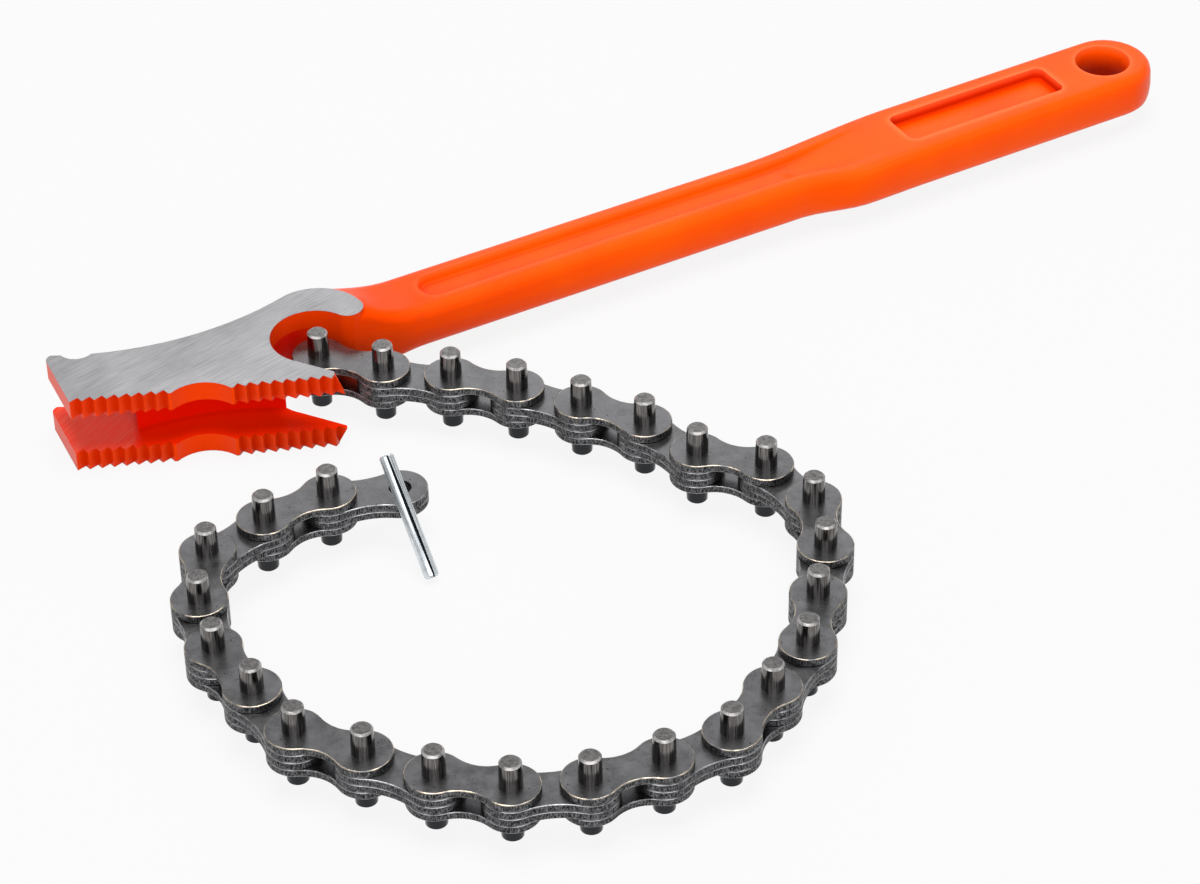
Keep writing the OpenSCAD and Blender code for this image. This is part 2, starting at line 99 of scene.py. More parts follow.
# the jaws: half the slot's height, the left end of the web between them and the lean of the teeth
SLOT_HALF = 4.9 * MM
WEB_LEFT = 42.5 * MM
JAW_LEAN = math.radians(22)
# the handle's channel: its end from the first chain pin, the room searched past it, its greatest depth, the flange
# beside it, and the corners that a full row across the handle has at least
CHANNEL_END = 218.2 * MM
CHANNEL_ROOM = 6 * MM
CHANNEL_CUT = 1.75 * MM
FLANGE_EDGE = 3.6 * MM
FULL_ROW = 20
# the spring pin: its lean, the cuts along its slot, the length of its long edges at least, and how far a look across
# the bore reaches and starts off a face
SPRING_LEAN = math.radians(45)
SLOT_STATIONS = 16
LONG_EDGE = 5 * MM
BORE_REACH = 5 * MM
OFF_FACE = 0.01 * MM
# mesh work: angles over which an edge is sharp and under which it is flat, steps of a rounding, and the distances
# under which corners are joined
SHARP = math.radians(40)
FLAT = math.radians(0.3)
ROUND_STEPS = 2
WELD = 0.002 * MM
FINE_WELD = 0.001 * MM
OUTLINE_WELD = 0.01 * MM
# points on a hole or pin, on a plate's round end and on its waist
CIRCLE_POINTS, END_POINTS, WAIST_POINTS = 40, 32, 16
# rays of each look for creases, ridges and corners
AO_SAMPLES = 8
# the camera: width of its frame in millimetres and farthest view in metres
FRAME_WIDTH = 36.0
FAR_CLIP = 20.0
# the studio: tone of the paper, share of it that glows, light of the room, and the point that the lamps face
PAPER_TONE = 0.5
GLOW_SHARE = 0.88
ROOM_LIGHT = 0.3
LAMPS_FACE = Vector((0.0, 0.03, 0.0))
# soft boxes: name, place in metres, width, height and watts
SOFT_BOXES = (
    ("key", (-0.6, -1.1, 0.62), 2.0, 1.1, 15.0),
    ("top", (0.0, 0.1, 1.3), 1.0, 0.8, 18.0),
    ("back", (0.62, 1.07, 0.69), 2.0, 0.5, 4.4))
# the chain's pins in order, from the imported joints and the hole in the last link
CHAIN_JOINTS = [j for j in frame["joints"] if j["type"] == "hinge"]
MOUNTS_AT = {m["name"]: Vector(m["pos_m"]) for m in frame["record"]["mounts"]}
PINS_AT = [Vector(j["pos_m"]) for j in CHAIN_JOINTS] + [MOUNTS_AT["end_link_hole"]]


def size(name, description, default):
    """A length among the settings."""
    return FloatProperty(name=name, description=description, default=default, min=0.0, unit="LENGTH", precision=5)


def tint(name, description, code):
    """A colour among the settings."""
    return FloatVectorProperty(name=name, description=description, default=hex_linear(code), subtype="COLOR",
                               size=3, min=0.0, max=1.0)


class WRENCH_PG_forging(bpy.types.PropertyGroup):
    """Sizes and colours of the forged body."""
    edge_round: size("Edge Rounding", "Rounding of the head's edges", 0.25 * MM)
    short: size("Short Edge", "Edges next to one shorter than this stay sharp", 0.45 * MM)
    weld: size("Weld Distance", "Distance under which the model's loose corners are joined", WELD)
    fade_from: size("Channel Fade Start", "Where the channel starts to run out, from the first chain pin", 130 * MM)
    fade_to: size("Channel Fade End", "Where the channel has run out, from the first chain pin", 158 * MM)
    paint: tint("Paint", "Orange enamel on the forging", "#FB5400")
    # a deeper orange: the film's random tone, and painted shade on the head, the root and in corners
    deep_paint_and_shade: tint("Thick Paint", "Enamel where it lies thicker, over the head and the root", "#F03600")
    # painted shade: the deeper red in the slot between the jaws
    slot_shade_paint: tint("Slot Paint", "Enamel inside the slot between the jaws", "#E61200")
    steel: tint("Ground Steel", "Bare ground faces of the head", "#B3B2B4")
    # painted shade: the darker red in creases
    crease_shade_paint: tint("Crease Paint", "Enamel that has run into creases", "#D02C00")
    # painted highlight: the paler orange on the handle's ridges
    ridge_highlight_paint: tint("Ridge Paint", "Enamel rubbed paler on ridges", "#FF7440")
    # painted shade: the dark red in the lower half of the hang hole
    hang_hole_shade_paint: tint("Hole Paint", "Thin enamel in the lower half of the hang hole", "#B02200")
    chip: tint("Chip", "Small chips in the enamel", "#5A2A18")
    # scuff colour, also laid as a pale wash of painted light over the slot's whole left end
    scuff_and_light_paint: tint("Scuffed Paint", "Enamel rubbed pale by the chain at the slot's left end", "#E07A62")


class WRENCH_PG_chain(bpy.types.PropertyGroup):
    """Sizes and colours of the leaf chain."""
    end_r: size("Plate End Radius", "Radius of a plate's round ends", 6.2 * MM)
    outer_waist: size("Outer Waist", "Width of an outer plate at its waist", 7.9 * MM)
    inner_waist: size("Inner Waist", "Width of an inner plate at its waist", 9.7 * MM)
    pin_r: size("Pin Radius", "Radius of a pin in the plates", 2.5 * MM)
    tip_r: size("Tip Radius", "Radius of a pin at its tips", 2.36 * MM)
    pin_play: size("Pin Play", "Clearance of an inner plate round its pin", 0.05 * MM)
    chamfer: size("Pin Chamfer", "Chamfer at a pin's tips", 0.45 * MM)
    collar: size("Pin Collar", "Straight length of a pin past the plates", 1.8 * MM)
    plate_round: size("Plate Rounding", "Rounding of the plates' rims", 0.2 * MM)
    plate: tint("Plate", "Burnished face of a plate", "#7C7C7E")
    rim: tint("Rim", "Sheared rim of a plate", "#3A3B3D")
    # painted highlight: this pale cream colours only the edges of the upper outer plates
    worn_and_highlit: tint("Worn Edge", "Edge of a plate, worn bright", "#D2C4B0")
    pin_tip: tint("Pin Tip", "Cropped end of a pin", "#8C8A89")
    pin: tint("Pin", "Polished side of a pin", "#6C6967")


class WRENCH_PG_spring(bpy.types.PropertyGroup):
    """Rounding, slot and colours of the spring pin."""
    edge_round: size("Edge Rounding", "Rounding of the rolled strip's edges", 0.1 * MM)
    slot_close: size("Slot Closing", "How far each lip of the slot closes in at the pin's ends", 0.17 * MM)
    slot_twist: FloatProperty(name="Slot Twist", description="Turn of the slot from the pin's foot to its top",
                              default=math.radians(-10), subtype="ANGLE")
    zinc: tint("Zinc", "Bright zinc plating", "#E2E8EC")
    # painted shade: the inside of the strip is coloured dark; the same dark also tints the zinc's streaks
    bore: tint("Bore", "Inside of the rolled strip", "#59636B")


class WRENCH_PG_stage(bpy.types.PropertyGroup):
    """Camera, light and floor."""
    lens: FloatProperty(name="Lens", description="Focal length for a 36 mm wide frame", default=110.33, min=1.0,
                        unit="CAMERA")
    camera_at: FloatVectorProperty(name="Camera", description="Place of the camera, from the first chain pin's foot",
                                   size=3, subtype="XYZ", unit="LENGTH", default=(-0.2725, -0.6239, 0.5180))
    look_at: FloatVectorProperty(name="Look At", description="Point that the camera looks at, from the same foot",
                                 size=3, subtype="XYZ", unit="LENGTH", default=(0.04791, -0.04599, 0.0))
    roll: FloatProperty(name="Roll", description="Turn of the camera about its view", default=math.radians(-1.02),
                        subtype="ANGLE")
    floor_size: size("Floor", "Width of the floor", 6.0)
    floor: tint("Floor", "Pale floor", "#FFFFFF")


class WRENCH_PG_settings(bpy.types.PropertyGroup):
    """All groups of settings."""
    forging: PointerProperty(type=WRENCH_PG_forging)
    chain: PointerProperty(type=WRENCH_PG_chain)
    spring: PointerProperty(type=WRENCH_PG_spring)
    stage: PointerProperty(type=WRENCH_PG_stage)


def plug(tree, node, inputs):
    """Links or sets a node's inputs by identifier, name or number."""
    for key, value in inputs.items():
        socket = node.inputs[key] if isinstance(key, int) else next(
            s for s in node.inputs if key in (s.identifier, s.name))
        if isinstance(value, bpy.types.NodeSocket):
            tree.links.new(value, socket)
        else:
            socket.default_value = value


def add(tree, kind, inputs=None, **settings):
    """Adds a node, sets its properties and plugs its inputs."""
    made = tree.nodes.new(kind)
    for key, value in settings.items():
        setattr(made, key, value)
    plug(tree, made, inputs or {})
    return made


def start_material(name):
    """A new node material, its tree, its Principled shader and its Object coordinates."""
    material = bpy.data.materials.new(name)
    material.use_nodes = True
    tree = material.node_tree
    tree.nodes.clear()
    shader = add(tree, "ShaderNodeBsdfPrincipled")
    add(tree, "ShaderNodeOutputMaterial", {"Surface": shader.outputs[0]})
    return material, tree, shader, add(tree, "ShaderNodeTexCoord").outputs["Object"]


def rgba(colour, gain=1.0):
    """A colour with its brightness times the gain, and full alpha."""
    return tuple(min(1.0, c * gain) for c in colour) + (1.0,)


def two_tones(tree, place, noise, span, first, second, most=1.0):
    """A noise, its tone over the span from none to the most, and two colours mixed by that tone."""
    value = add(tree, "ShaderNodeTexNoise", {"Vector": place, **noise}).outputs["Fac"]
    tone = add(tree, "ShaderNodeMapRange", {
        "Value": value, "From Min": span[0], "From Max": span[1], "To Max": most}).outputs["Result"]
    colour = add(tree, "ShaderNodeMix", {"Factor_Float": tone, "A_Color": first, "B_Color": second}, data_type="RGBA")
    return value, tone, colour.outputs[2]


def enamelled_forging(p):
    """Semi-gloss orange enamel sprayed on a steel forging, with the head's flat faces ground bare afterwards.
    The eye gets a soft wide gloss with a faint orange peel, painted shade that makes the head, the creases, the
    corners, the slot and the lower half of the hang hole redder, a painted highlight on the ridges, scuffs and a wash
    of painted light at the slot's left end, a few small chips, and grey faces with fine slanted grinding lines."""
    material, tree, shader, place = start_material("enamelled_steel_forging")
    # bare steel: within a tenth of a millimetre of the head's two flat faces, with a ragged border
    parts = add(tree, "ShaderNodeSeparateXYZ", {"Vector": place}).outputs
    along = parts["X"]
    up = add(tree, "ShaderNodeMath", {0: parts["Z"], 1: HEAD_MIDDLE}, operation="SUBTRACT").outputs[0]
    away = add(tree, "ShaderNodeMath", {0: up}, operation="ABSOLUTE").outputs[0]
    ragged = add(tree, "ShaderNodeTexNoise", {"Vector": place, "Scale": 1 / (0.9 * MM), "Detail": 4.0}).outputs["Fac"]
    depth = add(tree, "ShaderNodeMath", {0: ragged, 1: 0.10 * MM, 2: away}, operation="MULTIPLY_ADD").outputs[0]
    bare = add(tree, "ShaderNodeMapRange", {
        "Value": depth, "From Min": HEAD_HALF - 0.045 * MM, "From Max": HEAD_HALF - 0.02 * MM}).outputs["Result"]
    # grinding lines a quarter of a millimetre wide and a centimetre long, wider than the grit so that they show,
    # over a slow change of tone every 15 mm
    slant = add(tree, "ShaderNodeMapping", {
        "Vector": place, "Rotation": (0.0, 0.0, math.radians(12)), "Scale": (11 * MM, 0.25 * MM, 1.0)},
        vector_type="TEXTURE")
    lines = add(tree, "ShaderNodeTexNoise", {"Vector": slant.outputs[0], "Scale": 1.0, "Detail": 5.0,
                                             "Roughness": 0.7}).outputs["Fac"]
    line_dark = add(tree, "ShaderNodeMapRange", {
        "Value": lines, "From Min": 0.3, "From Max": 0.7, "To Min": 0.6, "To Max": 1.16}).outputs["Result"]
    ground = two_tones(tree, place, {"Scale": 1 / (15 * MM), "Detail": 3.0}, (0.3, 0.7),
                       rgba(p.steel, 0.88), rgba(p.steel, 1.18))[2]
    steel = add(tree, "ShaderNodeVectorMath", {0: ground, 1: line_dark}, operation="MULTIPLY").outputs[0]
    # paint: slow change of film thickness over about 18 mm
    paint = two_tones(tree, place, {"Scale": 1 / (18 * MM), "Detail": 2.0}, (0.35, 0.75),
                      rgba(p.paint), rgba(p.deep_paint_and_shade), 0.4)[2]
    # painted shade: deeper orange on the head and the root, fading out along the neck
    root = PINS_AT[0].x
    head_shade = add(tree, "ShaderNodeMapRange", {
        "Value": along, "From Min": root + 75 * MM, "From Max": root, "To Max": 0.75}).outputs["Result"]
    # painted shade: deeper orange in the corners and hollows within 5 mm
    open_air = add(tree, "ShaderNodeAmbientOcclusion", {"Distance": 5 * MM}, samples=AO_SAMPLES,
                   only_local=True).outputs["AO"]
    corner_shade = add(tree, "ShaderNodeMapRange", {"Value": open_air, "From Min": 0.95, "From Max": 0.35}).outputs["Result"]
    # the head's painted shade and the corners' painted shade, whichever is stronger
    head_and_corner_shade = add(tree, "ShaderNodeMath", {0: head_shade, 1: corner_shade}, operation="MAXIMUM").outputs[0]
    # painted shade in creases within 2.4 mm, and a painted highlight on the handle's ridges
    crease_shade = add(tree, "ShaderNodeAmbientOcclusion", {"Distance": 2.4 * MM}, samples=AO_SAMPLES,
                 only_local=True).outputs["AO"]
    crease_shade = add(tree, "ShaderNodeMapRange", {
        "Value": crease_shade, "From Min": 0.97, "From Max": 0.8, "To Max": 0.85}).outputs["Result"]
    ridge_highlight = add(tree, "ShaderNodeAmbientOcclusion", {"Distance": 2 * MM}, samples=AO_SAMPLES, only_local=True,
                inside=True).outputs["AO"]
    ridge_highlight = add(tree, "ShaderNodeMapRange", {
        "Value": ridge_highlight, "From Min": 0.97, "From Max": 0.65, "To Max": 0.6}).outputs["Result"]
    on_handle = add(tree, "ShaderNodeMapRange", {
        "Value": along, "From Min": root + 14 * MM, "From Max": root + 30 * MM}).outputs["Result"]
    ridge_highlight = add(tree, "ShaderNodeMath", {0: ridge_highlight, 1: on_handle}, operation="MULTIPLY").outputs[0]
    # painted shade in the hang hole's lower half, which faces down
    hole_at = MOUNTS_AT["hang_hole"]
    from_hole = add(tree, "ShaderNodeVectorMath", {0: place, 1: hole_at}, operation="SUBTRACT").outputs[0]
    in_plan = add(tree, "ShaderNodeVectorMath", {0: from_hole, 1: (1.0, 1.0, 0.0)}, operation="MULTIPLY").outputs[0]
    radius = add(tree, "ShaderNodeVectorMath", {0: in_plan}, operation="LENGTH").outputs["Value"]
    in_hole = add(tree, "ShaderNodeMapRange", {
        "Value": radius, "From Min": 7.4 * MM, "From Max": 6.9 * MM}).outputs["Result"]
    low = add(tree, "ShaderNodeMapRange", {"Value": up, "From Min": 3.2 * MM, "From Max": -0.5 * MM}).outputs["Result"]
    hang_hole_shade = add(tree, "ShaderNodeMath", {0: in_hole, 1: low}, operation="MULTIPLY").outputs[0]
    # chips about a millimetre wide, one to every few square centimetres
    cells = add(tree, "ShaderNodeTexVoronoi", {"Vector": place, "Scale": 1 / (19 * MM)}).outputs["Distance"]
    chip = add(tree, "ShaderNodeMapRange", {
        "Value": cells, "From Min": 0.028, "From Max": 0.016, "To Max": 0.8}).outputs["Result"]
    # painted shade in the slot between the jaws: everything within half a slot of the middle, left of the pocket's far
    # wall
    in_slot = add(tree, "ShaderNodeMapRange", {
        "Value": away, "From Min": SLOT_HALF + 0.2 * MM, "From Max": SLOT_HALF - 0.1 * MM}).outputs["Result"]
    in_head = add(tree, "ShaderNodeMapRange", {
        "Value": along, "From Min": root + 6 * MM, "From Max": root - 2 * MM}).outputs["Result"]
    slot = add(tree, "ShaderNodeMath", {0: in_slot, 1: in_head}, operation="MULTIPLY").outputs[0]
    # scuffs half a millimetre wide where the chain is drawn through the slot's left end, over a pale wash of painted
    # light on the whole end
    drawn = add(tree, "ShaderNodeMapping", {
        "Vector": place, "Rotation": (0.0, 0.0, math.radians(28)), "Scale": (7 * MM, 0.5 * MM, 2 * MM)},
        vector_type="TEXTURE")
    rub = add(tree, "ShaderNodeTexNoise", {"Vector": drawn.outputs[0], "Scale": 1.0, "Detail": 5.0}).outputs["Fac"]
    # the least share of 0.2 is painted light: the whole end is paler even between the scuffs
    scuff_and_light_tone = add(tree, "ShaderNodeMapRange", {
        "Value": rub, "From Min": 0.4, "From Max": 0.72, "To Min": 0.2, "To Max": 0.7}).outputs["Result"]
    teeth_run = Vector((math.cos(JAW_LEAN), -math.sin(JAW_LEAN), 0.0))
    along_teeth = add(tree, "ShaderNodeVectorMath", {0: place, 1: teeth_run}, operation="DOT_PRODUCT").outputs["Value"]
    web_end = PINS_AT[0].dot(teeth_run) - WEB_LEFT
    at_end = add(tree, "ShaderNodeMapRange", {
        "Value": along_teeth, "From Min": web_end - 0.3 * MM, "From Max": web_end - 1.2 * MM}).outputs["Result"]
    scuffs_and_light = add(tree, "ShaderNodeMath", {0: scuff_and_light_tone, 1: at_end}, operation="MULTIPLY").outputs[0]
    scuffs_and_light = add(tree, "ShaderNodeMath", {0: scuffs_and_light, 1: in_slot}, operation="MULTIPLY").outputs[0]
    # the coats, the painted shade and the painted highlights one over the other, then bare steel over all, in the
    # colour and in the tint of the highlights
    for share, coat in ((head_and_corner_shade, p.deep_paint_and_shade), (crease_shade, p.crease_shade_paint), (ridge_highlight, p.ridge_highlight_paint), (hang_hole_shade, p.hang_hole_shade_paint),
                        (chip, p.chip), (slot, p.slot_shade_paint), (scuffs_and_light, p.scuff_and_light_paint)):
        paint = add(tree, "ShaderNodeMix", {"Factor_Float": share, "A_Color": paint, "B_Color": rgba(coat)},
                    data_type="RGBA").outputs[2]
    colour, gloss = (
        add(tree, "ShaderNodeMix", {"Factor_Float": bare, "A_Color": a, "B_Color": b}, data_type="RGBA").outputs[2]
        for a, b in ((paint, steel), (rgba(p.paint), rgba(p.steel))))
    # grain of the forging under the film, about 1.2 mm across, and the grinding lines as a shallow relief on the steel
    grain = add(tree, "ShaderNodeTexNoise", {"Vector": place, "Scale": 1 / (1.2 * MM), "Detail": 5.0,
                                             "Roughness": 0.65}).outputs["Fac"]
    relief = add(tree, "ShaderNodeMix", {"Factor_Float": bare, "A_Float": grain, "B_Float": lines}).outputs[0]
    bump = add(tree, "ShaderNodeBump", {"Height": relief, "Strength": 0.5, "Distance": 0.12 * MM})
    rough = add(tree, "ShaderNodeMapRange", {"Value": bare, "To Min": 0.36, "To Max": 0.42}).outputs["Result"]
    plug(tree, shader, {"Base Color": colour, "Metallic": bare, "Roughness": rough, "Specular IOR Level": 0.3,
                        "Specular Tint": gloss, "Normal": bump.outputs[0]})
    return material


def burnished_plate(p):
    """Spring steel plate, blanked, hardened and tumbled in oil. The eye gets a dark grey, fairly glossy face with
    a faint cloudiness, scattered dark pits and fine scuffs."""
    material, tree, shader, place = start_material("burnished_steel_plate")
    # clouds 4 mm wide, and pits about half a millimetre wide in cells of 2.2 mm
    cloud, _, face = two_tones(tree, place, {"Scale": 1 / (4 * MM), "Detail": 6.0, "Roughness": 0.65}, (0.3, 0.7),
                               rgba(p.plate, 0.8), rgba(p.plate, 1.2))
    cells = add(tree, "ShaderNodeTexVoronoi", {"Vector": place, "Scale": 1 / (2.2 * MM)}).outputs["Distance"]
    pit = add(tree, "ShaderNodeMapRange", {"Value": cells, "From Min": 0.07, "From Max": 0.11}).outputs["Result"]
    colour = add(tree, "ShaderNodeMix", {"Factor_Float": pit, "A_Color": rgba(p.plate, 0.35), "B_Color": face},
                 data_type="RGBA").outputs[2]
    rough = add(tree, "ShaderNodeMapRange", {"Value": cloud, "To Min": 0.2, "To Max": 0.36}).outputs["Result"]
    fine = add(tree, "ShaderNodeTexNoise", {"Vector": place, "Scale": 1 / (0.35 * MM), "Detail": 3.0}).outputs["Fac"]
    bump = add(tree, "ShaderNodeBump", {"Height": fine, "Strength": 0.15, "Distance": 0.02 * MM})
    plug(tree, shader, {"Base Color": colour, "Metallic": 1.0, "Roughness": rough, "Normal": bump.outputs[0]})
    return material


def sheared_rim(p):
    """Rim of a blanked plate: a burnished band and a torn, blackened band. The eye gets a dark, broken surface with
    short upright streaks that catch the light, and painted shade that darkens the holes nearly to black."""
    material, tree, shader, place = start_material("sheared_steel_rim")
    # streaks a quarter of a millimetre wide and nearly a millimetre high
    stretch = add(tree, "ShaderNodeMapping", {
        "Vector": place, "Scale": (0.26 * MM, 0.26 * MM, 0.8 * MM)}, vector_type="TEXTURE")
    torn, streak, torn_tone = two_tones(
        tree, stretch.outputs[0], {"Scale": 1.0, "Detail": 4.0, "Roughness": 0.7, "Distortion": 0.6}, (0.44, 0.62),
        rgba(p.rim, 0.3), rgba(p.plate, 1.05))
    # painted shade: the holes, which are 5 mm wide, go nearly black, and other hollows of the same link a little darker
    open_air = add(tree, "ShaderNodeAmbientOcclusion", {"Distance": 7 * MM}, samples=AO_SAMPLES,
                   only_local=True).outputs["AO"]
    pin_hole_shade = add(tree, "ShaderNodeMapRange", {
        "Value": open_air, "From Min": 0.75, "From Max": 0.5, "To Max": 0.97}).outputs["Result"]
    colour = add(tree, "ShaderNodeMix", {"Factor_Float": pin_hole_shade, "A_Color": torn_tone, "B_Color": rgba(p.rim, 0.06)},
                 data_type="RGBA").outputs[2]
    rough = add(tree, "ShaderNodeMapRange", {"Value": streak, "To Min": 0.6, "To Max": 0.36}).outputs["Result"]
    bump = add(tree, "ShaderNodeBump", {"Height": torn, "Strength": 0.6, "Distance": 0.08 * MM})
    plug(tree, shader, {"Base Color": colour, "Metallic": 1.0, "Roughness": rough, "Normal": bump.outputs[0]})
    return material


def polished_pin(p):
    """Drawn and polished pin. The eye gets long upright lights and darks, with thin lines along the pin, and the ends
    below the lower plates darkened with painted shade.
    """
    material, tree, shader, place = start_material("polished_drawn_pin")
    # lines about a third of a millimetre wide along the pin
    along = add(tree, "ShaderNodeMapping", {
        "Vector": place, "Scale": (0.3 * MM, 0.3 * MM, 9 * MM)}, vector_type="TEXTURE")
    lines, _, bright = two_tones(tree, along.outputs[0], {"Scale": 1.0, "Detail": 4.0}, (0.3, 0.7),
                                 rgba(p.pin, 0.22), rgba(p.pin, 1.7))
    # painted shade: the pin ends below the lower plates are darkened to the rim's grey, standing in for the shade under
    # the chain
    height = add(tree, "ShaderNodeSeparateXYZ", {"Vector": place}).outputs["Z"]
    stub_shade = add(tree, "ShaderNodeMapRange", {
        "Value": height, "From Min": BOTTOM_Z[1], "From Max": BOTTOM_Z[0] - MM}).outputs["Result"]
    colour = add(tree, "ShaderNodeMix", {"Factor_Float": stub_shade, "A_Color": bright, "B_Color": rgba(p.rim, 0.8)},
                 data_type="RGBA").outputs[2]
    rough = add(tree, "ShaderNodeMapRange", {"Value": lines, "To Min": 0.1, "To Max": 0.26}).outputs["Result"]
    plug(tree, shader, {"Base Color": colour, "Metallic": 1.0, "Roughness": rough})
    return material


def cropped_pin_end(p):
    """Cropped and tumbled end of a pin. The eye gets a dull mottled disc with scratches."""
    material, tree, shader, place = start_material("cropped_pin_end")
    # mottling 0.8 mm across
    mottle, _, colour = two_tones(tree, place, {"Scale": 1 / (0.8 * MM), "Detail": 6.0, "Roughness": 0.75},
                                  (0.35, 0.68), rgba(p.pin_tip, 0.4), rgba(p.pin_tip, 1.2))
    bump = add(tree, "ShaderNodeBump", {"Height": mottle, "Strength": 0.3, "Distance": 0.04 * MM})
    plug(tree, shader, {"Base Color": colour, "Metallic": 1.0, "Roughness": 0.3, "Normal": bump.outputs[0]})
    return material


def turned_chamfer(p):
    """Chamfer turned on a pin's tip and left bright. The eye gets a bright ring, dulled in places."""
    material, tree, shader, place = start_material("turned_pin_chamfer")
    # dull places 1.2 mm across
    colour = two_tones(tree, place, {"Scale": 1 / (1.2 * MM), "Detail": 3.0}, (0.35, 0.6),
                       rgba(p.pin_tip), rgba(p.pin_tip, 2.4))[2]
    plug(tree, shader, {"Base Color": colour, "Metallic": 1.0, "Roughness": 0.55})
    return material


def worn_and_highlit_edge(p):
    """Edge of a plate, rubbed bright against its neighbours. The eye gets a thin line round each plate, pale cream on
    the upper outer plates as a painted highlight, and grey below."""
    material, tree, shader, place = start_material("worn_and_highlit_steel_edge")
    height = add(tree, "ShaderNodeSeparateXYZ", {"Vector": place}).outputs["Z"]
    # painted highlight: edges of the upper outer plates turn pale cream instead of the grey below
    upper = add(tree, "ShaderNodeMapRange", {
        "Value": height, "From Min": TOP_Z[0] - 0.1 * MM, "From Max": TOP_Z[0] + PLATE_T}).outputs["Result"]
    pale = add(tree, "ShaderNodeMix", {"Factor_Float": upper, "A_Color": rgba(p.plate, 2.4), "B_Color": rgba(p.worn_and_highlit)},
               data_type="RGBA").outputs[2]
    # wear in patches of 2.5 mm
    colour = two_tones(tree, place, {"Scale": 1 / (2.5 * MM), "Detail": 4.0}, (0.35, 0.6),
                       rgba(p.plate, 0.7), pale)[2]
    plug(tree, shader, {"Base Color": colour, "Metallic": 1.0, "Roughness": 0.28})
    return material


def bright_zinc(p):
    """Rolled spring steel strip with bright zinc plating. The eye gets a bluish white metal with strong streaks along
    the pin and a slight frost."""
    material, tree, shader, place = start_material("bright_zinc_plating")
    # frost 1.5 mm across, and drawn streaks a third of a millimetre wide along the leaning pin
    frost, _, plated = two_tones(tree, place, {"Scale": 1 / (1.5 * MM), "Detail": 5.0}, (0.3, 0.7),
                                 rgba(p.zinc, 0.86), rgba(p.zinc, 1.06))
    along = add(tree, "ShaderNodeMapping", {
        "Vector": place, "Rotation": (SPRING_LEAN, 0.0, 0.0), "Scale": (0.35 * MM, 16 * MM, 0.35 * MM)},
        vector_type="TEXTURE")
    colour = two_tones(tree, along.outputs[0], {"Scale": 1.0, "Detail": 2.0}, (0.5, 0.64),
                       plated, rgba(p.bore), 0.6)[2]
    rough = add(tree, "ShaderNodeMapRange", {"Value": frost, "To Min": 0.16, "To Max": 0.34}).outputs["Result"]
    plug(tree, shader, {"Base Color": colour, "Metallic": 0.6, "Roughness": rough})
    return material


def shaded_bore(p):
    """Inside of the rolled strip, coloured dark as painted shade. The eye gets a dull dark line along the slot."""
    material, tree, shader, place = start_material("zinc_bore_painted_shade")
    # frost 1.5 mm across
    colour = two_tones(tree, place, {"Scale": 1 / (1.5 * MM), "Detail": 3.0}, (0.0, 1.0),
                       rgba(p.bore, 0.5), rgba(p.bore))[2]
    plug(tree, shader, {"Base Color": colour, "Metallic": 1.0, "Roughness": 0.6})
    return material


